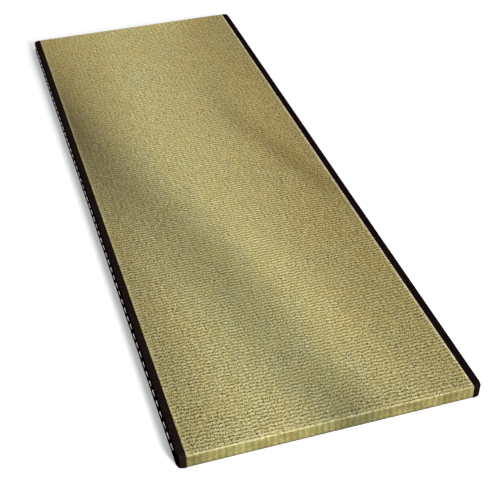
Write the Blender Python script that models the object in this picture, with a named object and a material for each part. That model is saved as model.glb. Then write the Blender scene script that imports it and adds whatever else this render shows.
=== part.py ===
"""Tatami mat: a rush-faced slab with a cloth binding folded over each long edge.

Metres, +Z up. The mat lies flat with its underside at z = 0 and its centre over the
origin. Its length runs along Y and its width along X.
"""

import math

import bmesh
import bpy

# The whole mat
WIDTH = 0.700
LENGTH = 2.000
THICKNESS = 0.035

# The bindings along the two long edges
BINDING_FACE = 0.020  # width that shows on the top, and on each end face
CLOTH = 0.0015  # folded cloth with its stiffening
EDGE_RADIUS = 0.005  # where the cloth is pulled round an edge
EDGE_STEPS = 5  # straight steps round that edge

# The woven rush, which runs over the top and down both end faces
RIB_COUNT = 46  # lengthwise ribs between the two bindings
RIB_DEPTH = 0.0009  # from the crest of a rib to the valley beside it
RIB_STEPS = 6  # straight steps across one rib
RUSH_DROP = 0.0004  # the rush lies this much lower than the cloth beside it
FOLD_STEPS = 5  # straight steps round the fold at each end
FOOT_CHAMFER = 0.0012  # along the bottom of the end faces

# Room between pieces that touch
GAP = 0.0003

# Faces that meet at more than this angle keep a sharp edge
SHARP_ANGLE = math.radians(40)

# Colours as linear RGB, with roughness
RUSH_COLOUR = (0.42, 0.36, 0.16)
RUSH_ROUGHNESS = 0.75
BINDING_COLOUR = (0.012, 0.009, 0.009)
BINDING_ROUGHNESS = 0.85


def clear_scene():
    """Removes what the file opened with."""
    for thing in list(bpy.data.objects):
        bpy.data.objects.remove(thing, do_unlink=True)


def make_material(name, colour, roughness):
    """A plain Principled material with the piece's colour."""
    material = bpy.data.materials.new(name)
    material.use_nodes = True
    shader = material.node_tree.nodes["Principled BSDF"]
    shader.inputs["Base Color"].default_value = (*colour, 1.0)
    shader.inputs["Roughness"].default_value = roughness
    shader.inputs["Metallic"].default_value = 0.0
    return material


def add_object(name, shape, material):
    """Turns a bmesh into a named object in the scene."""
    mesh = bpy.data.meshes.new(name)
    shape.to_mesh(mesh)
    shape.free()
    mesh.shade_smooth()
    mesh.set_sharp_from_angle(angle=SHARP_ANGLE)
    mesh.materials.append(material)
    piece = bpy.data.objects.new(name, mesh)
    bpy.context.scene.collection.objects.link(piece)
    return piece


def end_profile(half_length, top, radius):
    """Points (y, z) up one end face, from the underside to the start of the top."""
    points = [(half_length - FOOT_CHAMFER, 0.0), (half_length, FOOT_CHAMFER)]
    for step in range(FOLD_STEPS + 1):
        angle = math.radians(90) * step / FOLD_STEPS
        out = half_length - radius + radius * math.cos(angle)
        up = top - radius + radius * math.sin(angle)
        points.append((out, up))
    return points


def lengthwise_section(half_length, top, radius):
    """The closed outline of the slab along its length, from near end to far end."""
    far_end = end_profile(half_length, top, radius)
    near_end = [(-y, z) for y, z in far_end]
    return near_end + far_end[::-1]


def rib_sections():
    """Sections across the woven rush, one for each step of each rib."""
    half_width = WIDTH / 2 - BINDING_FACE - 2 * GAP
    steps = RIB_COUNT * RIB_STEPS
    sections = []
    for step in range(steps + 1):
        x = half_width * (2 * step / steps - 1)
        turn = math.tau * step / RIB_STEPS
        sunk = RUSH_DROP + RIB_DEPTH * (1 + math.cos(turn)) / 2
        outline = lengthwise_section(LENGTH / 2 - sunk, THICKNESS - sunk, EDGE_RADIUS)
        sections.append((x, outline))
    return sections


def hidden_sections():
    """Sections of the slab's edge under the cloth, from the rush out to the side."""
    under_cloth = CLOTH + GAP
    radius = EDGE_RADIUS - under_cloth
    side = WIDTH / 2 - under_cloth
    step_down = WIDTH / 2 - BINDING_FACE - GAP
    sections = []
    for x, inset in ((step_down, 0.0), (side - radius, 0.0), (side, radius)):
        half_length = LENGTH / 2 - under_cloth - inset
        top = THICKNESS - under_cloth - inset
        sections.append((x, lengthwise_section(half_length, top, radius)))
    return sections


def loft(sections):
    """Joins sections, given from low X to high X, into one closed body."""
    shape = bmesh.new()
    rings = []
    for x, outline in sections:
        rings.append([shape.verts.new((x, y, z)) for y, z in outline])
    edges = []
    for ring in rings:
        for start, end in zip(ring, ring[1:] + ring[:1]):
            edges.append(shape.edges.new((start, end)))
    count = len(rings[0])
    for index in range(len(rings) - 1):
        pair = edges[index * count : (index + 2) * count]
        bmesh.ops.bridge_loops(shape, edges=pair)
    shape.faces.new(rings[0])
    shape.faces.new(rings[-1])
    bmesh.ops.recalc_face_normals(shape, faces=shape.faces[:])
    return shape


def build_rush_body(material):
    """The slab: rush over its core, narrower where the cloth covers it."""
    high_side = hidden_sections()
    low_side = [(-x, outline) for x, outline in reversed(high_side)]
    shape = loft(low_side + rib_sections() + high_side)
    return add_object("rush_body", shape, material)


def open_wrap(side):
    """The outside of one binding as an open surface: top strip, side and end tabs.

    It is shaped on the +X edge, and side is -1 for the binding on the other edge.
    """
    inner = WIDTH / 2 - BINDING_FACE
    outer = WIDTH / 2
    half = LENGTH / 2
    shape = bmesh.new()
    bmesh.ops.create_cube(shape, size=1.0)
    for vertex in shape.verts:
        vertex.co.x = outer if vertex.co.x > 0 else inner
        vertex.co.y = half if vertex.co.y > 0 else -half
        vertex.co.z = THICKNESS if vertex.co.z > 0 else 0.0
    open_faces = [f for f in shape.faces if f.normal.x < -0.5 or f.normal.z < -0.5]
    bmesh.ops.delete(shape, geom=open_faces, context="FACES")
    pulled = [edge for edge in shape.edges if len(edge.link_faces) == 2]
    bmesh.ops.bevel(
        shape,
        geom=pulled,
        offset=EDGE_RADIUS,
        offset_type="OFFSET",
        segments=EDGE_STEPS,
        profile=0.5,
        affect="EDGES",
        material=-1,
    )
    bmesh.ops.scale(shape, vec=(side, 1.0, 1.0), verts=shape.verts[:])
    bmesh.ops.recalc_face_normals(shape, faces=shape.faces[:])
    return shape


def build_binding(name, side, material):
    """One binding: cloth folded over the long edge and round both ends."""
    piece = add_object(name, open_wrap(side), material)
    thicken = piece.modifiers.new("cloth", "SOLIDIFY")
    thicken.thickness = CLOTH
    thicken.offset = -1.0
    thicken.use_even_offset = True
    thicken.use_rim = True
    return piece


def main():
    clear_scene()
    rush = make_material("woven_rush", RUSH_COLOUR, RUSH_ROUGHNESS)
    cloth = make_material("binding_cloth", BINDING_COLOUR, BINDING_ROUGHNESS)
    build_rush_body(rush)
    build_binding("binding_left", -1, cloth)
    build_binding("binding_right", 1, cloth)


main()
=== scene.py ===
import math
import random
from collections import namedtuple

import bmesh
import bpy
from bpy.props import FloatProperty, FloatVectorProperty, IntProperty, PointerProperty
from bpy.types import Operator, Panel, PropertyGroup
from mathutils import Matrix, Vector, noise


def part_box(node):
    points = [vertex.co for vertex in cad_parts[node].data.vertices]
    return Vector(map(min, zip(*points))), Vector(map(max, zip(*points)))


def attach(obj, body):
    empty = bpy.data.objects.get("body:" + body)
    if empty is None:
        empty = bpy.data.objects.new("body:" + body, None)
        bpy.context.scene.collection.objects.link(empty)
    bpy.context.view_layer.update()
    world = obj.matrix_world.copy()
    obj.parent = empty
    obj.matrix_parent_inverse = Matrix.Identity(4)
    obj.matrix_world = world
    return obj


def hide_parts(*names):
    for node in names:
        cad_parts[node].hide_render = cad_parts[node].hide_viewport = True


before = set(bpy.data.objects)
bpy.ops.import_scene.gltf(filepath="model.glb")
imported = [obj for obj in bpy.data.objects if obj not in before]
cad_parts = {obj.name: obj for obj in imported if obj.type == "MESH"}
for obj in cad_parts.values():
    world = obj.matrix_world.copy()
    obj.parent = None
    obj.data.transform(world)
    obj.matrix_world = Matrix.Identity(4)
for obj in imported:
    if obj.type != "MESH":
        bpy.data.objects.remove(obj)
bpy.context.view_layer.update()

bl_info = {
    "name": "Tatami Mat",
    "version": (1, 0, 0),
    "blender": (4, 5, 0),
    "location": "View3D > Sidebar > Tatami",
    "description": "Dresses a rush-faced floor mat with woven rush, cloth bindings and side stitching",
    "category": "Object",
}

BODY = "root"
MM = 0.001
TINY = 0.01 * MM

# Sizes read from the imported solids
BINDING_LOW, BINDING_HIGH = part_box("binding_right")
SLAB_LOW, SLAB_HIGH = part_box("rush_body")
HALF_WIDTH = BINDING_HIGH.x
HALF_LENGTH = BINDING_HIGH.y
THICKNESS = BINDING_HIGH.z
BINDING_INNER = BINDING_LOW.x
RUSH_DROP = THICKNESS - SLAB_HIGH.z

# Sizes that the solids have in their source
EDGE_RADIUS = 5 * MM
GAP = 0.3 * MM


def linear(code):
    """An sRGB hex code as a linear colour with alpha."""
    parts = []
    for start in (1, 3, 5):
        share = int(code[start : start + 2], 16) / 255
        parts.append(share / 12.92 if share <= 0.04045 else ((share + 0.055) / 1.055) ** 2.4)
    return (*parts, 1.0)


def add_node(tree, kind, inputs=None, **settings):
    """Adds a node, sets its properties, and links or fills its inputs."""
    node = tree.nodes.new(kind)
    for name, value in settings.items():
        setattr(node, name, value)
    for socket, value in (inputs or {}).items():
        if isinstance(value, bpy.types.NodeSocket):
            tree.links.new(value, node.inputs[socket])
        else:
            node.inputs[socket].default_value = value
    return node


def new_material(name):
    """An empty material with its output and its Principled shader."""
    material = bpy.data.materials.new(name)
    material.use_nodes = True
    tree = material.node_tree
    tree.nodes.clear()
    shader = add_node(tree, "ShaderNodeBsdfPrincipled")
    add_node(tree, "ShaderNodeOutputMaterial", {"Surface": shader.outputs[0]})
    return material, tree, shader


def dress(tree, shader, colour, height, strength, depth, roughness):
    """Gives a shader its colour, the relief of a height pattern, and its roughness."""
    relief = add_node(
        tree, "ShaderNodeBump", {"Strength": strength, "Distance": depth, "Height": height}
    )
    tree.links.new(colour, shader.inputs["Base Color"])
    tree.links.new(relief.outputs[0], shader.inputs["Normal"])
    shader.inputs["Roughness"].default_value = roughness


def plain_weave(tree, place, spacing, folded=False):
    """Crossing threads of a plain weave: high where one comes over, low beside it.

    On cloth that is folded down a side, the threads across it turn down too.
    """
    turns = math.tau / spacing
    threads = add_node(
        tree,
        "ShaderNodeMapping",
        {"Vector": place.outputs["Object"], "Scale": (turns, turns, turns)},
    )
    parts = add_node(tree, "ShaderNodeSeparateXYZ", {0: threads.outputs[0]})
    across = parts
    if folded:
        across = add_node(
            tree, "ShaderNodeMath", {0: parts.outputs[0], 1: parts.outputs[2]}, operation="ADD"
        )
    warp = add_node(tree, "ShaderNodeMath", {0: across.outputs[0]}, operation="SINE")
    weft = add_node(tree, "ShaderNodeMath", {0: parts.outputs[1]}, operation="SINE")
    return add_node(
        tree, "ShaderNodeMath", {0: warp.outputs[0], 1: weft.outputs[0]}, operation="MULTIPLY"
    )


def bell(off, spread):
    """One where off is zero, falling softly to about a third where it equals spread."""
    return math.exp(-((off / spread) ** 2))


# A smooth unevenness: its waves for each metre in two directions, a seed, and its reach
Waver = namedtuple("Waver", "across along seed reach")


def waver(right, far, kind):
    """The unevenness at a place, from minus its reach to its reach."""
    return noise.noise(Vector((right * kind.across, far * kind.along, kind.seed))) * kind.reach


def round_edges(shape, edges, radius, steps):
    """Rounds edges of a bmesh."""
    bmesh.ops.bevel(
        shape,
        geom=edges,
        offset=radius,
        offset_type="OFFSET",
        segments=steps,
        profile=0.5,
        affect="EDGES",
        material=-1,
    )


def finish_piece(name, shape, material, replaced=()):
    """Makes an object of a bmesh, dresses it and ties it to the frame."""
    mesh = bpy.data.meshes.new(name)
    shape.to_mesh(mesh)
    shape.free()
    mesh.shade_smooth()
    mesh.materials.append(material)
    piece = bpy.data.objects.new(name, mesh)
    bpy.context.scene.collection.objects.link(piece)
    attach(piece, BODY)
    if replaced:
        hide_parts(*replaced)
    return piece


# Tones and painted shade of the rush

# Broad tones from the photo: partly the rush's own uneven colour, and partly painted shade
# and sheen, lighter in the middle and darker towards both long sides and the near end.
# Each row is a soft oval: its middle and half sizes in metres, the turn of its long axis
# from the mat's length in degrees, how much lighter it is (darker below zero), and how
# much warmer (greener below zero).
ShadeAndTonePatch = namedtuple("ShadeAndTonePatch", "x y half_width half_length turn light warm")
SHADE_AND_TONE_PATCHES = (
    ShadeAndTonePatch(0.350, 0.000, 0.265, 3.000, 0, -0.43, 0.85),
    ShadeAndTonePatch(-0.350, 0.000, 0.135, 3.000, 0, -0.34, 0.35),
    ShadeAndTonePatch(-0.135, -0.300, 0.100, 1.100, 14.5, -0.36, -0.40),
    ShadeAndTonePatch(-0.340, 0.500, 0.080, 0.350, 0, -0.12, 0.20),
    ShadeAndTonePatch(-0.330, -0.300, 0.070, 0.600, 0, -0.08, 0.00),
    ShadeAndTonePatch(0.240, 0.030, 0.035, 0.300, 17, -0.16, 0.40),
    ShadeAndTonePatch(0.060, -0.500, 0.055, 0.350, 14, 0.15, -0.10),
    ShadeAndTonePatch(0.040, -1.000, 0.060, 0.100, 0, -0.12, 0.00),
    ShadeAndTonePatch(0.260, 0.350, 0.050, 0.200, 0, 0.07, 0.00),
    ShadeAndTonePatch(0.150, 0.350, 0.040, 0.180, 0, -0.10, 0.00),
    ShadeAndTonePatch(-0.270, -0.700, 0.100, 0.500, 0, -0.04, 0.00),
    ShadeAndTonePatch(0.280, -1.000, 0.150, 0.250, 0, 0.06, -0.30),
    ShadeAndTonePatch(0.000, -1.000, 0.500, 0.600, 0, -0.12, -0.15),
    ShadeAndTonePatch(0.300, 0.400, 0.150, 0.700, 0, 0.00, 0.40),
    ShadeAndTonePatch(-0.330, 0.500, 0.150, 0.600, 0, -0.04, 0.70),
    ShadeAndTonePatch(0.000, 1.000, 0.500, 0.250, 0, 0.00, 0.30),
    ShadeAndTonePatch(0.060, -0.780, 0.075, 0.240, 25, 0.15, 0.00),
    ShadeAndTonePatch(0.110, 1.000, 0.110, 0.100, 0, 0.14, 0.00),
    ShadeAndTonePatch(-0.190, 0.600, 0.070, 0.420, 0, -0.12, 0.15),
    ShadeAndTonePatch(-0.110, -0.360, 0.070, 0.300, 17, 0.00, 0.55),
    ShadeAndTonePatch(0.320, 0.850, 0.060, 0.250, 0, 0.00, -0.50),
)

# The rush grows warmer and greener by turns from place to place
WARMTH_WAVER = Waver(24, 12, 6.2, 0.5)
# The colour of a plain tone, and what full warmth adds to it
PLAIN_TINT = Vector((1.0, 1.0, 1.02))
WARM_TINT = Vector((0.07, -0.04, -0.22))
# Where the rush goes down over an end it is darker and greener: its own greener colour, with painted
# shade that evens out the key light on the ends, most at the near end
NEAR_END_SHADE_TINT = (0.49, 0.49, 0.39)
FAR_END_SHADE_TINT = (0.62, 0.62, 0.52)
# Beside the bindings and on the near fold the stems are pale: partly creased stems, partly a painted
# highlight
CREASE_AND_HIGHLIGHT_TINT = (0.95, 0.95, 1.10)
CREASE_AND_HIGHLIGHT_GAIN = 0.7
CREASE_AND_HIGHLIGHT_LIMIT = 0.9
# The far fold lies in its own shade
FAR_FOLD_SHADE = 0.40
# Along the floor the end faces are in shade, and a little above it they catch its light
FOOT_HEIGHT = 2 * MM
FOOT_SHADE = 0.45
FLOOR_GLOW = 0.13
GLOW_HEIGHT = 12 * MM
GLOW_SPREAD = 4 * MM
# The middle of each fold lies this far inside the mat's end
FOLD_INSET = 2.6 * MM
FOLD_SPREAD = 2.3 * MM


def rush_tint_and_shade(x, y, z, level, pale):
    """Colour that the rush is multiplied by at a place, before its fine variation: its own tone and
    warmth, with painted shade, sheen and highlight.
    """
    light, warm = 1.0, waver(x, y, WARMTH_WAVER)
    # The patches' painted shade and sheen, with the rush's own tone
    for patch in SHADE_AND_TONE_PATCHES:
        angle = math.radians(patch.turn)
        right, far = x - patch.x, y - patch.y
        across = right * math.cos(angle) + far * math.sin(angle)
        along = far * math.cos(angle) - right * math.sin(angle)
        share = bell(across, patch.half_width) * bell(along, patch.half_length)
        light += patch.light * share
        warm += patch.warm * share
    if y > 0:
        light *= 1 - FAR_FOLD_SHADE * fold_share(y)
    if z < FOOT_HEIGHT:
        light *= FOOT_SHADE
    light *= 1 + FLOOR_GLOW * bell(z - GLOW_HEIGHT, GLOW_SPREAD)
    colour = (PLAIN_TINT + WARM_TINT * warm) * light
    # The pale line of creased stems and painted highlight
    colour = colour.lerp(Vector(CREASE_AND_HIGHLIGHT_TINT), min(CREASE_AND_HIGHLIGHT_LIMIT, CREASE_AND_HIGHLIGHT_GAIN * pale) * level)
    # Painted shade on the ends, darkest at the near end, with the ends' greener colour
    end_shade_tint = Vector(NEAR_END_SHADE_TINT if y < 0 else FAR_END_SHADE_TINT)
    return colour * end_shade_tint.lerp(Vector((1, 1, 1)), level)


def fold_share(y):
    """One on the fold at either end, falling to nothing a few millimetres from it."""
    return bell(HALF_LENGTH - FOLD_INSET - abs(y), FOLD_SPREAD)


# Woven rush


class RushSettings(PropertyGroup):
    ribs: IntProperty(
        name="Ribs",
        description="Lengthwise ribs between the bindings",
        default=46,
        min=4,
    )
    rib_depth: FloatProperty(
        name="Rib depth",
        description="From the crest of a rib to the valley beside it",
        default=0.9 * MM,
        unit="LENGTH",
    )
    row_pitch: FloatProperty(
        name="Row pitch",
        description="Length of one raised bunch of stems with the dip beside it",
        default=10.4 * MM,
        unit="LENGTH",
    )
    row_relief: FloatProperty(
        name="Row relief",
        description="How far a raised bunch stands above the mean",
        default=0.35 * MM,
        unit="LENGTH",
    )
    row_step: FloatProperty(
        name="Row step",
        description="How far the rows of one rib lie from those of the next, along the mat",
        default=2.0 * MM,
        unit="LENGTH",
    )
    facing: FloatProperty(
        name="Facing thickness",
        description="Thickness of the woven facing",
        default=2.4 * MM,
        unit="LENGTH",
    )
    pale: FloatVectorProperty(
        name="Pale stem",
        description="Colour of the palest stems",
        default=linear("#E7DC9F"),
        size=4,
        subtype="COLOR",
    )
    middle: FloatVectorProperty(
        name="Plain stem",
        description="Colour of most stems",
        default=linear("#A4995A"),
        size=4,
        subtype="COLOR",
    )
    dark: FloatVectorProperty(
        name="Shaded stem",
        description="Colour in the dips between the stems",
        default=linear("#2E2404"),
        size=4,
        subtype="COLOR",
    )
    # Colour of the pale line on the near fold and beside the bindings: partly creased stems, partly a
    # painted highlight
    cut: FloatVectorProperty(
        name="Creased stem",
        description="Colour where the stems are creased over the near fold",
        default=linear("#E8DEB0"),
        size=4,
        subtype="COLOR",
    )


class Wrap:
    """The way of the facing: up the near end, over the top and down the far end."""

    def __init__(self, foot, sunk):
        self.foot = foot
        self.half = HALF_LENGTH - sunk
        self.top = THICKNESS - sunk
        self.rise = self.top - EDGE_RADIUS - foot
        self.arc = EDGE_RADIUS * math.pi / 2
        self.flat = 2 * (self.half - EDGE_RADIUS)
        self.start = self.rise + self.arc
        self.length = 2 * self.start + self.flat

    def at(self, distance):
        """Place (y, z) and outward direction (y, z) at a distance from the near foot."""
        if distance > self.length / 2:
            y, z, out_y, out_z = self.at(self.length - distance)
            return -y, z, -out_y, out_z
        if distance < self.rise:
            return -self.half, self.foot + distance, -1.0, 0.0
        if distance < self.start:
            angle = (distance - self.rise) / EDGE_RADIUS
            out_y, out_z = -math.cos(angle), math.sin(angle)
            y = -self.half + EDGE_RADIUS * (1 + out_y)
            z = self.top - EDGE_RADIUS * (1 - out_z)
            return y, z, out_y, out_z
        return -self.half + EDGE_RADIUS + distance - self.start, self.top, 0.0, 1.0


# A line of points along the mat: its place across, its depth below the cloth, how much
# of the rows' relief it takes, and the side to which its rows are stepped
Column = namedtuple("Column", "x depth relief step")

# Across one rib: share of its width, share of its depth, share of the relief
RIB_PROFILE = ((0.0, 1.0, 0.0), (0.12, 0.25, 0.8), (0.5, 0.0, 1.0), (0.88, 0.25, 0.8))

# Under the binding: distances past the last rib, and how deep the facing lies there
UNDER_BINDING = (0.5 * MM, 2.5 * MM, 5.5 * MM)
UNDER_DEPTH = 1.9 * MM
FACING_FOOT = 1.0 * MM
FOLD_STEPS = 4
LINING_TINT = (0.8, 0.8, 0.8, 0.0)

# The rows waver in long and in short waves, but run true over the folds and this far in
ROW_WAVERS = (Waver(9, 14, 3.7, 1.6 * MM), Waver(60, 30, 8.1, 0.7 * MM))
TRUE_LENGTH = 20 * MM
# A place counts as level from this upward share of its outward direction
LEVEL_FROM = 0.3
# Share of the rows' relief that the ends have
END_RELIEF = 0.3

# The near fold's stems are creased and carry a painted highlight, less so towards the right, for each
# metre
NEAR_FOLD_CREASE_AND_HIGHLIGHT = 0.429
CREASE_AND_HIGHLIGHT_FALL = 0.44
FOLD_UPPER = 0.2  # from this upward share of the outward direction
# Beside the bindings they are creased in a narrow line with a painted highlight, more so on the right
LINE_INSET = 0.8 * MM
LINE_SPREAD = 2.2 * MM
LINE_CREASE_AND_HIGHLIGHT_LEFT = 0.7
LINE_CREASE_AND_HIGHLIGHT_RIGHT = 1.2


def rush_columns(settings):
    """All columns from the left edge of the facing to its right edge."""
    half = BINDING_INNER - 2 * GAP
    pitch = 2 * half / settings.ribs
    ribbed = []
    for rib in range(settings.ribs):
        side = 1 if rib % 2 else -1
        for share, depth, relief in RIB_PROFILE:
            x = -half + (rib + share) * pitch
            ribbed.append(Column(x, RUSH_DROP + depth * settings.rib_depth, relief, side))
    ribbed.append(Column(half, RUSH_DROP + settings.rib_depth, 0.0, 1))
    right = [Column(half + past, UNDER_DEPTH, 0.0, 0) for past in UNDER_BINDING]
    left = [column._replace(x=-column.x) for column in reversed(right)]
    return left + ribbed + right


def rush_rows(way, settings):
    """Distances along the facing: two for each row of stems, more round the folds."""
    rise_steps = round(2 * way.rise / settings.row_pitch)
    flat_rows = round(way.flat / settings.row_pitch)
    rows = [way.rise * step / rise_steps for step in range(rise_steps)]
    rows += [way.rise + way.arc * step / FOLD_STEPS for step in range(FOLD_STEPS)]
    first = len(rows)
    rows += [way.start + way.flat * step / flat_rows / 2 for step in range(flat_rows)]
    return rows + [way.length / 2] + [way.length - row for row in reversed(rows)], first


def build_facing(settings):
    """The woven facing as one closed sheet with real ribs and raised rows."""
    columns = rush_columns(settings)
    way = Wrap(FACING_FOOT, RUSH_DROP)
    rows, first = rush_rows(way, settings)
    shape = bmesh.new()
    bmesh.ops.create_grid(
        shape, x_segments=len(columns) - 1, y_segments=len(rows) - 1, size=1.0
    )
    weave = shape.loops.layers.uv.new("weave")
    tint = shape.verts.layers.float_color.new("tint")
    crease_and_highlight = shape.verts.layers.float.new("crease_and_highlight")
    flat_place = {}
    for vertex in shape.verts:
        i = round((vertex.co.x + 1) / 2 * (len(columns) - 1))
        j = round((vertex.co.y + 1) / 2 * (len(rows) - 1))
        column, row = columns[i], rows[j]
        flat_place[vertex] = (column.x, row)
        inside = min(row, way.length - row) - way.start
        loose = min(1.0, max(0.0, inside / TRUE_LENGTH))
        shift = sum(waver(column.x, row, kind) for kind in ROW_WAVERS)
        shift += column.step * column.relief * settings.row_step / 2
        y, z, out_y, out_z = way.at(row + loose * shift)
        level = max(0.0, (out_z - LEVEL_FROM) / (1 - LEVEL_FROM))
        raised = 1 if (j - first) % 2 else -1
        height = RUSH_DROP - column.depth
        if 0 < j < len(rows) - 1:
            share = END_RELIEF + (1 - END_RELIEF) * level
            height += raised * column.relief * settings.row_relief * share
        vertex.co = (column.x, y + out_y * height, z + out_z * height)
        # Share of the pale line: creased stems with a painted highlight
        pale = pale_and_highlight_share(column.x, y, out_z)
        vertex[tint] = (*rush_tint_and_shade(column.x, y, z, level, pale), level)
        vertex[crease_and_highlight] = pale
    for face in shape.faces:
        for loop in face.loops:
            loop[weave].uv = flat_place[loop.vert]
    line_facing(shape, way, settings.facing, tint)
    return shape, way


def pale_and_highlight_share(x, y, out_z):
    """How much a place shows the pale line of creased stems and painted highlight: near fold and
    beside the bindings.
    """
    fold = 0.0
    if y < 0 and out_z > FOLD_UPPER:
        fold = fold_share(y) * (NEAR_FOLD_CREASE_AND_HIGHLIGHT - CREASE_AND_HIGHLIGHT_FALL * x)
    beside = bell(BINDING_INNER - LINE_INSET - abs(x), LINE_SPREAD)
    return max(fold, beside * (LINE_CREASE_AND_HIGHLIGHT_RIGHT if x > 0 else LINE_CREASE_AND_HIGHLIGHT_LEFT))


def line_facing(shape, way, depth, tint):
    """Adds the smooth inner face of the facing and closes its four rims."""
    half = max(vertex.co.x for vertex in shape.verts)
    knees = [0.0, way.rise]
    knees += [way.rise + way.arc * (step + 1) / FOLD_STEPS for step in range(FOLD_STEPS)]
    knees += [way.length / 2] + [way.length - knee for knee in reversed(knees)]
    lining = bmesh.ops.create_grid(shape, x_segments=1, y_segments=len(knees) - 1, size=1.0)
    for vertex in lining["verts"]:
        knee = knees[round((vertex.co.y + 1) / 2 * (len(knees) - 1))]
        y, z, out_y, out_z = way.at(knee)
        x = half if vertex.co.x > 0 else -half
        vertex.co = (x, y - out_y * depth, z - out_z * depth)
        vertex[tint] = LINING_TINT
    corners = [v for v in shape.verts if abs(v.co.x) > half - TINY and v.co.z < way.foot + TINY]
    for side in (-1, 1):
        for end in (-1, 1):
            shape.edges.new([v for v in corners if v.co.x * side > 0 and v.co.y * end > 0])
    for side in (-1, 1):
        fill_rim(shape, lambda place: place.x * side > half - TINY)
    for end in (-1, 1):
        fill_rim(shape, lambda place: place.z < way.foot + TINY and place.y * end > 0)
    bmesh.ops.recalc_face_normals(shape, faces=shape.faces[:])


def fill_rim(shape, belongs):
    """Closes one open rim, made of the open edges whose ends both belong to it."""
    rim = [
        edge
        for edge in shape.edges
        if len(edge.link_faces) < 2 and all(belongs(vertex.co) for vertex in edge.verts)
    ]
    bmesh.ops.edgeloop_fill(shape, edges=rim)


# Sizes in the rush's pattern, which is drawn on the flat facing
STEM_LENGTH = 8 * MM  # of a stem that shows between two warps
STEM_SPACING = 2.4 * MM
STEM_SLANT = math.radians(8)
FLECK_LENGTH = 2.9 * MM
FLECK_WIDTH = 2.2 * MM
AREA_SIZE = 45 * MM  # of an area that is beaten up evenly
CREASE_AND_HIGHLIGHT_LENGTH = 20 * MM
CREASE_AND_HIGHLIGHT_WIDTH = 7 * MM

# What the patterns on the top add up to in the middle, and the mix that this stands for
PATTERN_MIDDLE = 2.54
PLAIN_MIX = 0.52


def streaks(tree, place, length, width, detail=2.0):
    """Soft uneven streaks of this length and width on the flat facing."""
    scaled = add_node(
        tree,
        "ShaderNodeMapping",
        {"Vector": place.outputs[0], "Scale": (1 / length, 1 / width, 1.0)},
    )
    return add_node(
        tree,
        "ShaderNodeTexNoise",
        {"Vector": scaled.outputs[0], "Scale": 1.0, "Detail": detail},
        noise_dimensions="2D",
    )


def weighted_sum(tree, start, patterns):
    """Adds patterns to a starting value, each times its weight."""
    total = start
    for pattern, weight in patterns:
        grown = add_node(
            tree,
            "ShaderNodeMath",
            {0: pattern.outputs[0], 1: weight, 2: total},
            operation="MULTIPLY_ADD",
        )
        total = grown.outputs[0]
    return total


def rush_bunches(tree, weave, upright, settings, way):
    """How raised a place is in its bunch of stems, and a number by chance for the bunch."""
    # One unit is one rib across and one row along, with the middle of each at a half
    half = BINDING_INNER - 2 * GAP
    ribs_per_metre = settings.ribs / (2 * half)
    rows_per_metre = round(way.flat / settings.row_pitch) / way.flat
    cells = add_node(
        tree,
        "ShaderNodeMapping",
        {
            "Vector": weave.outputs[0],
            "Location": (half * ribs_per_metre, -way.start * rows_per_metre, 0.0),
            "Scale": (ribs_per_metre, rows_per_metre, 1.0),
        },
    )
    place = add_node(tree, "ShaderNodeSeparateXYZ", {0: cells.outputs[0]})
    across, along = [
        add_node(tree, "ShaderNodeMath", {0: place.outputs[axis], 1: 0.5}, operation="PINGPONG")
        for axis in (0, 1)
    ]

    # On the ends the valleys are broad and soft, and the rows fade out
    valley = weighted_sum(tree, 0.18, [(upright, 0.35)])
    rib = add_node(
        tree,
        "ShaderNodeMapRange",
        {"Value": across.outputs[0], "From Max": valley, "To Min": 0.4},
        interpolation_type="SMOOTHSTEP",
    )
    row = add_node(
        tree,
        "ShaderNodeMapRange",
        {
            "Value": along.outputs[0],
            "From Min": 0.10,
            "From Max": 0.42,
            "To Min": upright.outputs[0],
        },
        interpolation_type="SMOOTHSTEP",
    )
    bunch = add_node(
        tree, "ShaderNodeMath", {0: rib.outputs[0], 1: row.outputs[0]}, operation="MULTIPLY"
    )
    number = add_node(
        tree, "ShaderNodeVectorMath", {0: cells.outputs[0]}, operation="FLOOR"
    )
    chance = add_node(
        tree,
        "ShaderNodeTexWhiteNoise",
        {"Vector": number.outputs[0]},
        noise_dimensions="2D",
    )
    return bunch, chance


def rush_mix(tree, weave, upright, settings, way):
    """Share of pale in each stem: none is shaded, a half is plain and one is palest."""
    bunch, chance = rush_bunches(tree, weave, upright, settings, way)
    slanted = add_node(
        tree,
        "ShaderNodeMapping",
        {"Vector": weave.outputs[0], "Rotation": (0.0, 0.0, -STEM_SLANT)},
    )
    stems = streaks(tree, slanted, STEM_LENGTH, STEM_SPACING, detail=1.0)
    flecks = streaks(tree, slanted, FLECK_LENGTH, FLECK_WIDTH)
    # The bunches' share paints the raised bunches paler and the dips darker, a painted highlight and
    # shade over the real relief; stems and flecks are the stems' own random tone
    patterns = ((bunch, 0.42), (chance, 0.12), (stems, 1.3), (flecks, 3.3))
    summed = weighted_sum(tree, -PATTERN_MIDDLE, patterns)

    # Some areas are beaten up evenly and others less so
    area = streaks(tree, weave, AREA_SIZE, AREA_SIZE)
    contrast = add_node(
        tree,
        "ShaderNodeMapRange",
        {
            "Value": area.outputs[0],
            "From Min": 0.35,
            "From Max": 0.65,
            "To Min": 0.75,
            "To Max": 1.25,
        },
    )
    on_top = add_node(
        tree,
        "ShaderNodeMath",
        {0: summed, 1: contrast.outputs[0], 2: PLAIN_MIX},
        operation="MULTIPLY_ADD",
        use_clamp=True,
    )

    # The ends show soft upright bands more than single stems
    banded = weighted_sum(tree, -0.26, ((contrast, 0.6), (bunch, 0.2)))
    ease = add_node(
        tree, "ShaderNodeMath", {0: upright.outputs[0], 1: 0.65}, operation="MULTIPLY"
    )
    return add_node(
        tree, "ShaderNodeMix", {0: ease.outputs[0], 2: on_top.outputs[0], 3: banded}
    )


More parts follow.
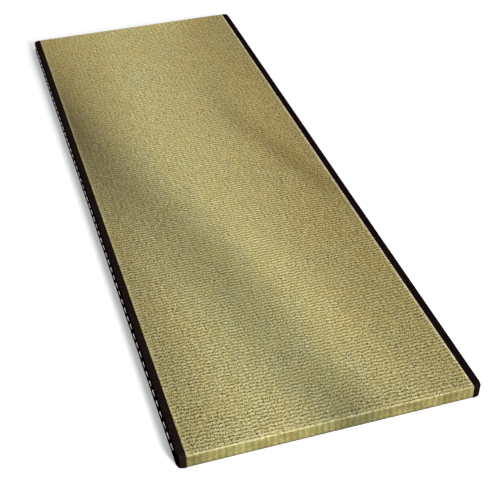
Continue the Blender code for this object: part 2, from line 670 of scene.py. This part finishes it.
def rush_colour(tree, weave, tint, mix, settings):
    """Stem colours by their mix, then the pale line of creased stems and painted highlight, then the
    broad tones with their painted shade.
    """
    colour = settings.dark[:]
    for limit, paler in (("From Max", settings.middle), ("From Min", settings.pale)):
        share = add_node(tree, "ShaderNodeMapRange", {"Value": mix.outputs[0], limit: 0.5})
        blended = add_node(
            tree,
            "ShaderNodeMix",
            {0: share.outputs[0], 6: colour, 7: paler[:]},
            data_type="RGBA",
        )
        colour = blended.outputs[2]
    # The pale line: creased stems with a painted highlight, broken up along its length
    crease_and_highlight = add_node(tree, "ShaderNodeAttribute", attribute_name="crease_and_highlight")
    breaks = streaks(tree, weave, CREASE_AND_HIGHLIGHT_LENGTH, CREASE_AND_HIGHLIGHT_WIDTH)
    uneven = add_node(
        tree,
        "ShaderNodeMapRange",
        {"Value": breaks.outputs[0], "From Min": 0.4, "From Max": 0.6, "To Min": 0.2},
    )
    creased_and_highlit = add_node(
        tree,
        "ShaderNodeMath",
        {0: crease_and_highlight.outputs["Fac"], 1: uneven.outputs[0]},
        operation="MULTIPLY",
        use_clamp=True,
    )
    stem = add_node(
        tree,
        "ShaderNodeMix",
        {0: creased_and_highlit.outputs[0], 6: colour, 7: settings.cut[:]},
        data_type="RGBA",
    )
    toned = add_node(
        tree,
        "ShaderNodeMix",
        {0: 1.0, 6: stem.outputs[2], 7: tint.outputs["Color"]},
        data_type="RGBA",
        blend_type="MULTIPLY",
    )
    return toned.outputs[2]


def rush_material(settings, way):
    """Woven rush (igusa): dried stems beaten up close, satiny along each stem.

    It gives the eye short pale dashes in lengthwise columns with olive dips between, and
    every stem a little different. Real stems are 1.3 mm apart, too fine to show here, so
    they are drawn as bunches of 10 mm with finer stems, 2.4 mm apart, inside them.
    """
    material, tree, shader = new_material("woven_rush")
    weave = add_node(tree, "ShaderNodeUVMap", uv_map="weave")
    tint = add_node(tree, "ShaderNodeAttribute", attribute_name="tint")
    upright = add_node(
        tree, "ShaderNodeMath", {0: 0.9, 1: tint.outputs["Alpha"]}, operation="SUBTRACT"
    )
    mix = rush_mix(tree, weave, upright, settings, way)
    colour = rush_colour(tree, weave, tint, mix, settings)
    dress(tree, shader, colour, mix.outputs[0], strength=0.8, depth=0.8 * MM, roughness=0.62)
    shader.inputs["Specular IOR Level"].default_value = 0.2
    return material


class TATAMI_OT_rush_facing(Operator):
    """Weave the rush facing over the top and both ends"""

    bl_idname = "tatami.rush_facing"
    bl_label = "Rush Facing"

    def execute(self, context):
        settings = context.scene.tatami_rush
        shape, way = build_facing(settings)
        material = rush_material(settings, way)
        facing = finish_piece("rush_facing", shape, material, ["rush_body"])
        return {"FINISHED"}


# Core and its backing

CORE_SIDE = 2.1 * MM  # the core lies this far inside the bindings' outer faces
CORE_ROUNDING = 3.2 * MM
CORE_CORNER_ROUNDING = 14 * MM
CORE_FOOT_ROUNDING = 0.6 * MM
JUTE_SPACING = 3 * MM


def backing_material():
    """Jute backing cloth, plain-woven and unbleached: coarse crossing threads.

    Real threads are 1.5 mm apart; they are drawn at 3 mm so that they show.
    """
    material, tree, shader = new_material("jute_backing")
    place = add_node(tree, "ShaderNodeTexCoord")
    woven = plain_weave(tree, place, JUTE_SPACING)
    uneven = add_node(
        tree,
        "ShaderNodeTexNoise",
        {"Vector": place.outputs["Object"], "Scale": 1 / (6 * MM), "Detail": 2.0},
    )
    mix = add_node(
        tree,
        "ShaderNodeMath",
        {0: woven.outputs[0], 1: 0.3, 2: uneven.outputs[0]},
        operation="MULTIPLY_ADD",
        use_clamp=True,
    )
    colour = add_node(
        tree,
        "ShaderNodeMix",
        {0: mix.outputs[0], 6: linear("#6E5C3C"), 7: linear("#BCA678")},
        data_type="RGBA",
    )
    dress(
        tree, shader, colour.outputs[2], woven.outputs[0], strength=0.5, depth=0.6 * MM, roughness=0.9
    )
    return material


class TATAMI_OT_core(Operator):
    """Add the firm core with its backing cloth, which shows from below"""

    bl_idname = "tatami.core"
    bl_label = "Core and Backing"

    def execute(self, context):
        inset = context.scene.tatami_rush.facing + RUSH_DROP + GAP
        shape = bmesh.new()
        bmesh.ops.create_cube(shape, size=1.0)
        bmesh.ops.translate(shape, vec=(0, 0, 0.5), verts=shape.verts[:])
        size = (2 * (HALF_WIDTH - CORE_SIDE), 2 * (HALF_LENGTH - inset), THICKNESS - inset)
        bmesh.ops.scale(shape, vec=size, verts=shape.verts[:])
        upright = [e for e in shape.edges if abs(e.verts[0].co.z - e.verts[1].co.z) > TINY]
        round_edges(shape, upright, CORE_CORNER_ROUNDING, 8)
        upper = [e for e in shape.edges if all(v.co.z > TINY for v in e.verts)]
        round_edges(shape, upper, CORE_ROUNDING, 4)
        lower = [e for e in shape.edges if all(v.co.z < TINY for v in e.verts)]
        round_edges(shape, lower, CORE_FOOT_ROUNDING, 2)
        core = finish_piece("core", shape, backing_material(), ["rush_body"])
        core.data.set_sharp_from_angle(angle=math.radians(40))
        return {"FINISHED"}


# Side stitching


class StitchSettings(PropertyGroup):
    pitch: FloatProperty(
        name="Stitch pitch",
        description="From one stitch to the next",
        default=33 * MM,
        unit="LENGTH",
    )
    length: FloatProperty(
        name="Stitch length",
        description="Length of thread that shows",
        default=15.5 * MM,
        unit="LENGTH",
    )
    thread: FloatProperty(
        name="Thread",
        description="Diameter of the thread",
        default=2.3 * MM,
        unit="LENGTH",
    )
    low: FloatProperty(
        name="Lower end",
        description="Height of a stitch's near end",
        default=24 * MM,
        unit="LENGTH",
    )
    rise: FloatProperty(
        name="Rise",
        description="How much higher the far end is",
        default=5.5 * MM,
        unit="LENGTH",
    )
    colour: FloatVectorProperty(
        name="Thread colour",
        description="Colour of the thread",
        default=linear("#FBFAF6"),
        size=4,
        subtype="COLOR",
    )


PLIES = 2
PLY_STEPS = 18
PLY_SIDES = 6
# In thread diameters: length of one full twist, radius of a ply and how far its middle
# lies from the thread's, how far the thread bows out, and how deep it starts in the cloth
TWIST_LENGTH = 5.0
PLY_RADIUS = 0.32
PLY_OFFSET = 0.18
BOW_OUT = 0.75
SUNK = 0.45
BOW_SKEW = 2.5  # above 1, the bow is highest past the middle

END_MARGIN = 12 * MM  # from the mat's end to the first stitch at least
# How unlike each other the stitches are
STITCH_SHIFT = 1.0 * MM
STITCH_LIFT = 0.8 * MM
STITCH_STRETCH = 0.08


def stitch_places(settings):
    """Places along the mat of the stitches' near ends, evenly inside both ends."""
    count = int(2 * (HALF_LENGTH - END_MARGIN) / settings.pitch)
    start = -((count - 1) * settings.pitch + settings.length) / 2
    return [start + index * settings.pitch for index in range(count)]


def twisted_thread(settings):
    """One stitch along +Z on the plane y = 0: two plies that bow out towards +Y.

    The thread comes out of the cloth at z = 0 and stands highest near its far end, where
    it is pulled tight into the cloth again.
    """
    shape = bmesh.new()
    turns = settings.length / (TWIST_LENGTH * settings.thread)
    for ply in range(PLIES):
        ring = bmesh.ops.create_circle(
            shape, cap_ends=True, segments=PLY_SIDES, radius=settings.thread * PLY_RADIUS
        )["verts"]
        face = ring[0].link_faces[0]
        previous = Vector((0, 0, 0))
        for step in range(PLY_STEPS + 1):
            share = step / PLY_STEPS
            bow = math.sin(math.pi * share**BOW_SKEW) ** 0.5
            angle = math.tau * (turns * share + ply / PLIES)
            aside = settings.thread * PLY_OFFSET * math.cos(angle)
            out = settings.thread * (BOW_OUT * bow - SUNK + PLY_OFFSET * math.sin(angle))
            place = Vector((aside, out, settings.length * share))
            if step:
                grown = bmesh.ops.extrude_face_region(shape, geom=[face])["geom"]
                face = next(part for part in grown if isinstance(part, bmesh.types.BMFace))
            bmesh.ops.translate(shape, verts=face.verts[:], vec=place - previous)
            previous = place
    mesh = bpy.data.meshes.new("stitch")
    shape.to_mesh(mesh)
    shape.free()
    return mesh


def stitch_row(side, settings):
    """All the stitches along one long side."""
    shape = bmesh.new()
    single = twisted_thread(settings)
    chance = random.Random(7 if side > 0 else 11)
    out = Vector((side, 0, 0))
    along = Vector((0, settings.length, settings.rise)).normalized()
    turn = Matrix((out.cross(along), out, along)).transposed().to_4x4()
    for near in stitch_places(settings):
        shift = chance.uniform(-STITCH_SHIFT, STITCH_SHIFT)
        lift = chance.uniform(-STITCH_LIFT, STITCH_LIFT)
        stretch = 1 + chance.uniform(-STITCH_STRETCH, STITCH_STRETCH)
        place = Matrix.Translation((HALF_WIDTH * side, near + shift, settings.low + lift))
        stitch = single.copy()
        stitch.transform(place @ turn @ Matrix.Diagonal((1, 1, stretch, 1)))
        shape.from_mesh(stitch)
        bpy.data.meshes.remove(stitch)
    bpy.data.meshes.remove(single)
    bmesh.ops.recalc_face_normals(shape, faces=shape.faces[:])
    return shape


def thread_material(settings):
    """Waxed linen thread, spun and plied: off-white with a soft shine and fine hairs."""
    material, tree, shader = new_material("waxed_thread")
    place = add_node(tree, "ShaderNodeTexCoord")
    hairs = add_node(
        tree,
        "ShaderNodeTexNoise",
        {"Vector": place.outputs["Object"], "Scale": 1 / (1.1 * MM), "Detail": 2.0},
    )
    colour = add_node(
        tree,
        "ShaderNodeMix",
        {0: hairs.outputs[0], 6: linear("#E4E0D6"), 7: settings.colour[:]},
        data_type="RGBA",
    )
    dress(
        tree, shader, colour.outputs[2], hairs.outputs[0], strength=0.4, depth=0.2 * MM, roughness=0.55
    )
    return material


class TATAMI_OT_stitching(Operator):
    """Sew the long white stitches along both sides"""

    bl_idname = "tatami.stitching"
    bl_label = "Side Stitching"

    def execute(self, context):
        settings = context.scene.tatami_stitch
        material = thread_material(settings)
        for name, side in (("left", -1), ("right", 1)):
            finish_piece("stitching_" + name, stitch_row(side, settings), material)
        return {"FINISHED"}


# Bindings


class BindingSettings(PropertyGroup):
    cloth: FloatProperty(
        name="Cloth thickness",
        description="Folded cloth with its stiffening",
        default=1.5 * MM,
        unit="LENGTH",
    )
    overlap: FloatProperty(
        name="Corner overlap",
        description="How far the turned end reaches over the top strip",
        default=30 * MM,
        unit="LENGTH",
    )
    overlap_rise: FloatProperty(
        name="Overlap rise",
        description="How much higher the turned end lies",
        default=0.45 * MM,
        unit="LENGTH",
    )
    corner_tuck: FloatProperty(
        name="Corner tuck",
        description="How far the cloth is pulled in round the corners at the floor",
        default=3.0 * MM,
        unit="LENGTH",
    )
    colour: FloatVectorProperty(
        name="Cloth colour",
        description="Colour of the black cloth where it is palest",
        default=linear("#211818"),
        size=4,
        subtype="COLOR",
    )


EDGE_STEPS = 6
CLOTH_CUTS = 499  # cuts along the mat, 4 mm apart
CROSS_CUT = 4 * MM  # from one cut to the next across the strip and the side
CUT_SNAP = TINY / 100  # a point this near to a cut counts as on it
CREASE = 0.6 * MM
CLOTH_SPACING = 1.5 * MM

# Shares of the cloth's palest colour: the side, darkened by painted shade; the right binding, darker
# all over; and what the fold lines add
SIDE_SHADE_TONE = 0.1
RIGHT_TONE = 0.6
CREASE_TONE = 0.6
# The side's black, deepened by painted shade, gives way to the top's colour this far inside the edge,
# over this width
TOP_FROM = 2 * MM
TOP_OVER = 3 * MM
# The cloth is paler in a line at its turned end and along the mat's end, near the top
PALE_LINE_DEPTH = 3.5 * MM
TURN_PALE_LINE = 1.5 * MM
END_PALE_LINE = 2 * MM

TOP_WAVER = Waver(70, 22, 1.3, 0.18 * MM)
SIDE_WAVER = Waver(70, 22, 5.9, 0.2 * MM)
DIMPLE_DEPTH = 0.7 * MM
DIMPLE_SPREAD = 3 * MM
# The corners' tuck reaches this far; at the top it is less by this share, and goes down
TUCK_SPREAD = 10 * MM
TUCK_FADE = 0.3
TUCK_DOWN = 0.5


def binding_shell(side, settings, stitches):
    """The outer face of one binding, rounded at its folds and puckered by stitches.

    It is shaped on the +X edge, and side is -1 for the binding on the other edge.
    """
    shape = bmesh.new()
    bmesh.ops.create_cube(shape, size=1.0)
    for vertex in shape.verts:
        vertex.co.x = HALF_WIDTH if vertex.co.x > 0 else BINDING_INNER
        vertex.co.y = HALF_LENGTH if vertex.co.y > 0 else -HALF_LENGTH
        vertex.co.z = THICKNESS if vertex.co.z > 0 else 0.0
    open_faces = [f for f in shape.faces if f.normal.x < -0.5 or f.normal.z < -0.5]
    bmesh.ops.delete(shape, geom=open_faces, context="FACES")
    pulled = [edge for edge in shape.edges if len(edge.link_faces) == 2]
    round_edges(shape, pulled, EDGE_RADIUS, EDGE_STEPS)
    for normal, low, high in (
        ((1, 0, 0), BINDING_INNER, HALF_WIDTH - EDGE_RADIUS),
        ((0, 0, 1), 0.0, THICKNESS - EDGE_RADIUS),
    ):
        cuts = int((high - low) / CROSS_CUT)
        cut_at(shape, normal, [low + CROSS_CUT * step for step in range(1, cuts + 1)])
    lengthwise = [edge for edge in shape.edges if edge.calc_length() > HALF_LENGTH]
    bmesh.ops.subdivide_edges(shape, edges=lengthwise, cuts=CLOTH_CUTS, use_grid_fill=True)
    fold = HALF_LENGTH - settings.overlap
    cut_at(shape, (0, 1, 0), [fold, fold + CREASE, -fold, -fold - CREASE])
    # Each point's share of the cloth's palest colour, with the painted shade on the side
    tone = shape.verts.layers.float.new("tone")
    for vertex in shape.verts:
        vertex[tone] = cloth_tone_and_shade(vertex.co, fold) * (1.0 if side < 0 else RIGHT_TONE)
    pucker(shape, settings, stitches)
    bmesh.ops.scale(shape, vec=(side, 1.0, 1.0), verts=shape.verts[:])
    bmesh.ops.recalc_face_normals(shape, faces=shape.faces[:])
    return shape


def cut_at(shape, normal, distances):
    """Cuts every face along the planes at these distances from the origin."""
    for distance in distances:
        bmesh.ops.bisect_plane(
            shape,
            geom=shape.verts[:] + shape.edges[:] + shape.faces[:],
            dist=CUT_SNAP,
            plane_co=Vector(normal) * distance,
            plane_no=normal,
        )


def cloth_tone_and_shade(place, fold):
    """How pale the cloth is at a place: black with painted shade on the side, paler in lines where it
    is folded.
    """
    x, y, z = place
    inward = (HALF_WIDTH - x - TOP_FROM) / TOP_OVER
    tone = SIDE_SHADE_TONE + (1 - SIDE_SHADE_TONE) * min(1.0, max(0.0, inward))
    if z > THICKNESS - PALE_LINE_DEPTH:
        for line, width in ((fold, TURN_PALE_LINE), (HALF_LENGTH - END_PALE_LINE, END_PALE_LINE)):
            tone += CREASE_TONE * tone * bell(abs(y) - line, width)
    return tone


def pucker(shape, settings, stitches):
    """Moves the cloth: turned-over ends, tucked corners, uneven faces and dimples."""
    fold = HALF_LENGTH - settings.overlap + CREASE / 2
    first = stitch_places(stitches)[0]
    ends = ((0.0, stitches.low), (stitches.length, stitches.low + stitches.rise))
    for vertex in shape.verts:
        x, y, z = vertex.co
        if z > THICKNESS - TINY:
            if fold < abs(y) < HALF_LENGTH - EDGE_RADIUS:
                vertex.co.z += settings.overlap_rise
            vertex.co.z += waver(x, y, TOP_WAVER)
        if x > HALF_WIDTH - TINY:
            vertex.co.x += waver(z, y, SIDE_WAVER)
            lag = (y - first) % stitches.pitch
            for end, height in ends:
                away = min(abs(lag - end), stitches.pitch - abs(lag - end))
                off = math.hypot(away, z - height)
                vertex.co.x -= DIMPLE_DEPTH * bell(off, DIMPLE_SPREAD)
        off = math.hypot(HALF_WIDTH - x, HALF_LENGTH - abs(y))
        high = z / THICKNESS
        tuck = settings.corner_tuck * bell(off, TUCK_SPREAD) * (1 - TUCK_FADE * high)
        vertex.co -= Vector((tuck, math.copysign(tuck, y), TUCK_DOWN * tuck * high**4))


def cloth_material(settings):
    """Cotton and linen binding cloth, plain-woven, dyed black and calendered.

    It gives the eye a soft black with a faint warm sheen and a fine tooth. Real threads
    are 0.5 mm apart; they are drawn at 1.5 mm so that they show.
    """
    material, tree, shader = new_material("binding_cloth")
    place = add_node(tree, "ShaderNodeTexCoord")
    woven = plain_weave(tree, place, CLOTH_SPACING, folded=True)
    slub_scale = add_node(
        tree,
        "ShaderNodeMapping",
        {
            "Vector": place.outputs["Object"],
            "Scale": (1 / (4 * MM), 1 / (11 * MM), 1 / (4 * MM)),
        },
    )
    slub = add_node(
        tree,
        "ShaderNodeTexNoise",
        {"Vector": slub_scale.outputs[0], "Scale": 1.0, "Detail": 3.0, "Roughness": 0.6},
    )
    tooth = add_node(
        tree,
        "ShaderNodeMath",
        {0: woven.outputs[0], 1: 0.15, 2: slub.outputs[0]},
        operation="MULTIPLY_ADD",
    )
    mix = add_node(
        tree,
        "ShaderNodeMapRange",
        {"Value": tooth.outputs[0], "From Min": 0.3, "From Max": 0.8},
    )
    dyed = add_node(
        tree,
        "ShaderNodeMix",
        {0: mix.outputs[0], 6: linear("#0D0806"), 7: settings.colour[:]},
        data_type="RGBA",
    )
    # The tone attribute holds the painted shade on the sides and the paler fold lines
    tone = add_node(tree, "ShaderNodeAttribute", attribute_name="tone")
    colour = add_node(
        tree,
        "ShaderNodeMix",
        {0: tone.outputs["Fac"], 6: linear("#000000"), 7: dyed.outputs[2]},
        data_type="RGBA",
        clamp_factor=False,
    )
    dress(
        tree, shader, colour.outputs[2], tooth.outputs[0], strength=0.6, depth=0.25 * MM, roughness=0.8
    )
    shader.inputs["Specular IOR Level"].default_value = 0.0
    return material


class TATAMI_OT_bindings(Operator):
    """Fold the two cloth bindings over the long edges"""

    bl_idname = "tatami.bindings"
    bl_label = "Bindings"

    def execute(self, context):
        settings = context.scene.tatami_binding
        stitches = context.scene.tatami_stitch
        material = cloth_material(settings)
        for name, side in (("left", -1), ("right", 1)):
            shape = binding_shell(side, settings, stitches)
            node = "binding_" + name
            piece = finish_piece("cloth_" + node, shape, material, [node])
            thicken = piece.modifiers.new("cloth", "SOLIDIFY")
            thicken.thickness = settings.cloth
            thicken.offset = -1.0
            thicken.use_even_offset = True
        return {"FINISHED"}


# Stage


class StageSettings(PropertyGroup):
    floor: FloatVectorProperty(
        name="Floor",
        description="Colour of the floor",
        default=linear("#FAFAFA"),
        size=4,
        subtype="COLOR",
    )
    ambient: FloatProperty(
        name="Ambient", description="Strength of the even light", default=0.78, min=0.0
    )
    key: FloatProperty(
        name="Key light",
        description="Power of the large soft light",
        default=795.0,
        min=0.0,
        subtype="POWER",
    )
    lens: FloatProperty(
        name="Lens",
        description="Focal length of the camera",
        default=77.98,
        unit="CAMERA",
    )


KEY_PLACE = Vector((1.85, -6.9, 3.2))
KEY_WIDTH = 2.1
KEY_HEIGHT = 3.6
CAMERA_PLACE = Vector((-0.6453, -2.4945, 1.7400))
CAMERA_AIM = Vector((0.0310, -0.2906, 0.0))
CAMERA_ROLL = math.radians(-0.65)
FLOOR_RADIUS = 40.0
FLOOR_DROP = 0.2 * MM


class TATAMI_OT_stage(Operator):
    """Set the floor, the soft light and the camera"""

    bl_idname = "tatami.stage"
    bl_label = "Stage"

    def execute(self, context):
        settings = context.scene.tatami_stage
        self.make_floor(context.scene, settings)
        self.make_light(context.scene, settings)
        self.make_camera(context.scene, settings)
        return {"FINISHED"}

    def make_floor(self, scene, settings):
        """A matte pale floor, just under the mat."""
        material, _, shader = new_material("matte_paper_floor")
        shader.inputs["Base Color"].default_value = settings.floor[:]
        shader.inputs["Roughness"].default_value = 1.0
        shader.inputs["Specular IOR Level"].default_value = 0.0
        shape = bmesh.new()
        bmesh.ops.create_circle(shape, cap_ends=True, segments=64, radius=FLOOR_RADIUS)
        bmesh.ops.translate(shape, verts=shape.verts[:], vec=(0, 0, -FLOOR_DROP))
        mesh = bpy.data.meshes.new("floor")
        shape.to_mesh(mesh)
        shape.free()
        mesh.materials.append(material)
        floor = bpy.data.objects.new("floor", mesh)
        scene.collection.objects.link(floor)

    def make_light(self, scene, settings):
        """An evenly lit white room and one large soft light from the front right."""
        world = bpy.data.worlds.new("soft_room")
        world.use_nodes = True
        background = world.node_tree.nodes["Background"]
        background.inputs["Color"].default_value = (1.0, 1.0, 1.0, 1.0)
        background.inputs["Strength"].default_value = settings.ambient
        scene.world = world
        lamp = bpy.data.lights.new("key", "AREA")
        lamp.shape = "ELLIPSE"
        lamp.size = KEY_WIDTH
        lamp.size_y = KEY_HEIGHT
        lamp.energy = settings.key
        key = bpy.data.objects.new("key", lamp)
        key.location = KEY_PLACE
        key.rotation_euler = (-KEY_PLACE).to_track_quat("-Z", "Y").to_euler()
        scene.collection.objects.link(key)

    def make_camera(self, scene, settings):
        """The camera at the photo's viewing angle."""
        scene.view_settings.view_transform = "Standard"
        data = bpy.data.cameras.new("camera")
        data.sensor_width = 36.0
        data.lens = settings.lens
        data.clip_start = 0.05
        camera = bpy.data.objects.new("camera", data)
        turn = (CAMERA_AIM - CAMERA_PLACE).to_track_quat("-Z", "Y").to_matrix()
        turn = turn @ Matrix.Rotation(CAMERA_ROLL, 3, "Z")
        camera.matrix_world = Matrix.Translation(CAMERA_PLACE) @ turn.to_4x4()
        scene.collection.objects.link(camera)
        scene.camera = camera


# Add-on


GROUPS = (
    ("Rush", "tatami_rush", RushSettings),
    ("Stitching", "tatami_stitch", StitchSettings),
    ("Bindings", "tatami_binding", BindingSettings),
    ("Stage", "tatami_stage", StageSettings),
)
OPERATORS = (
    TATAMI_OT_core,
    TATAMI_OT_rush_facing,
    TATAMI_OT_stitching,
    TATAMI_OT_bindings,
    TATAMI_OT_stage,
)


class TATAMI_PT_panel(Panel):
    """Lists the pieces of the mat and their sizes"""

    bl_idname = "TATAMI_PT_panel"
    bl_label = "Tatami Mat"
    bl_space_type = "VIEW_3D"
    bl_region_type = "UI"
    bl_category = "Tatami"

    def draw(self, context):
        for title, group, kind in GROUPS:
            box = self.layout.box()
            box.label(text=title)
            for name in kind.__annotations__:
                box.prop(getattr(context.scene, group), name)
        for operator in OPERATORS:
            self.layout.operator(operator.bl_idname)


def register():
    for _, group, kind in GROUPS:
        bpy.utils.register_class(kind)
        setattr(bpy.types.Scene, group, PointerProperty(type=kind))
    for kind in (*OPERATORS, TATAMI_PT_panel):
        bpy.utils.register_class(kind)


def unregister():
    for kind in (TATAMI_PT_panel, *reversed(OPERATORS)):
        bpy.utils.unregister_class(kind)
    for _, group, kind in reversed(GROUPS):
        delattr(bpy.types.Scene, group)
        bpy.utils.unregister_class(kind)


def main():
    register()
    bpy.ops.tatami.core()
    bpy.ops.tatami.rush_facing()
    bpy.ops.tatami.stitching()
    bpy.ops.tatami.bindings()
    bpy.ops.tatami.stage()


if __name__ == "__main__":
    main()
